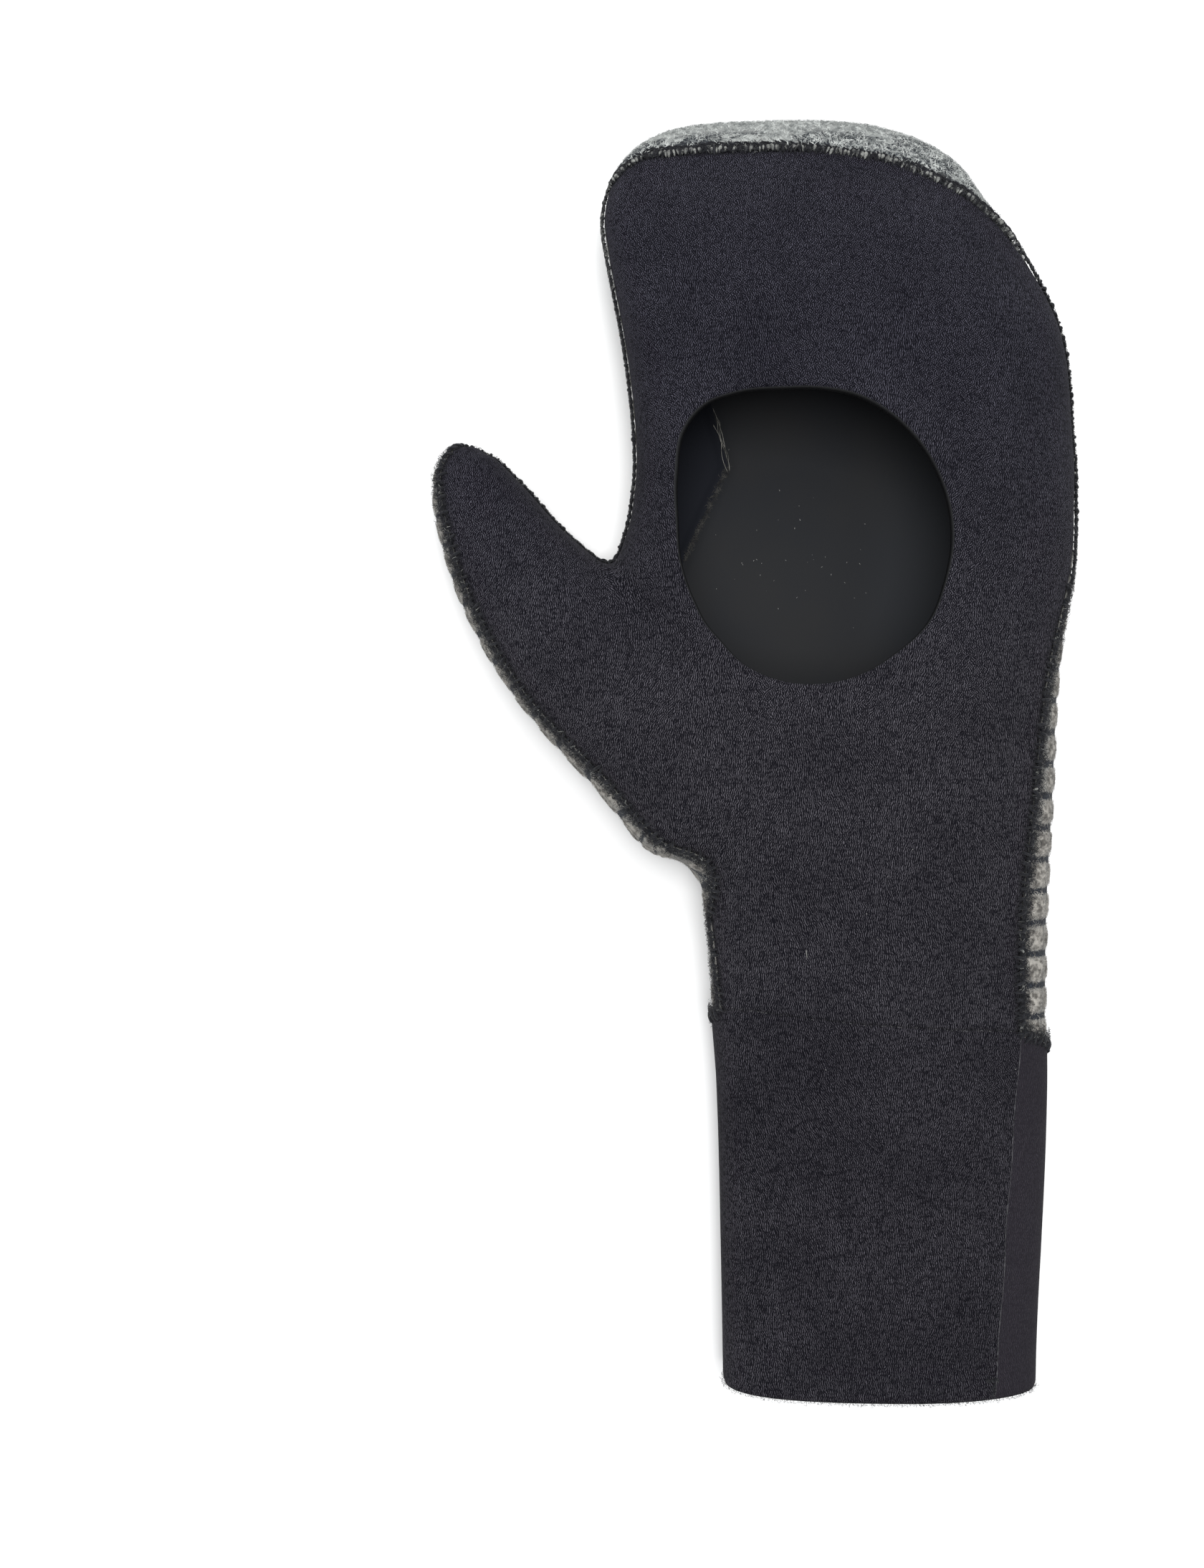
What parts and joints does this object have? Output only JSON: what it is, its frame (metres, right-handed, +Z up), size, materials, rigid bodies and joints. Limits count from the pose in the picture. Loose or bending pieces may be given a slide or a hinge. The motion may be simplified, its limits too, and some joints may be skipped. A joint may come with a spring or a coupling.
{
  "type": "palmless fleece mitt",
  "caption": "Long-cuffed fleece mitt for the right hand, lying palm up, with a separate thumb, a dark jersey palm and a large round hole in the palm.",
  "frame": {"origin": "middle of the mitt's footprint, on the surface it lies on", "axes": "+X towards the little-finger side, +Y towards the fingertips, +Z up, out of the palm"},
  "size_m": [0.1726, 0.342, 0.0405],
  "materials": {
    "fleece": "light grey fuzzy squares of fleece on a dark navy knit ground",
    "lining": "smooth matte near-black lining",
    "jersey": "black crepe-like jersey over thin foam",
    "cuff_jersey": "black crepe-like jersey with a raw, slightly fuzzy rim"
  },
  "bodies": {
    "root": {"back_fleece": "fleece", "back_lining": "lining", "palm_panel": "jersey", "cuff": "cuff_jersey"}
  },
  "joints": []
}
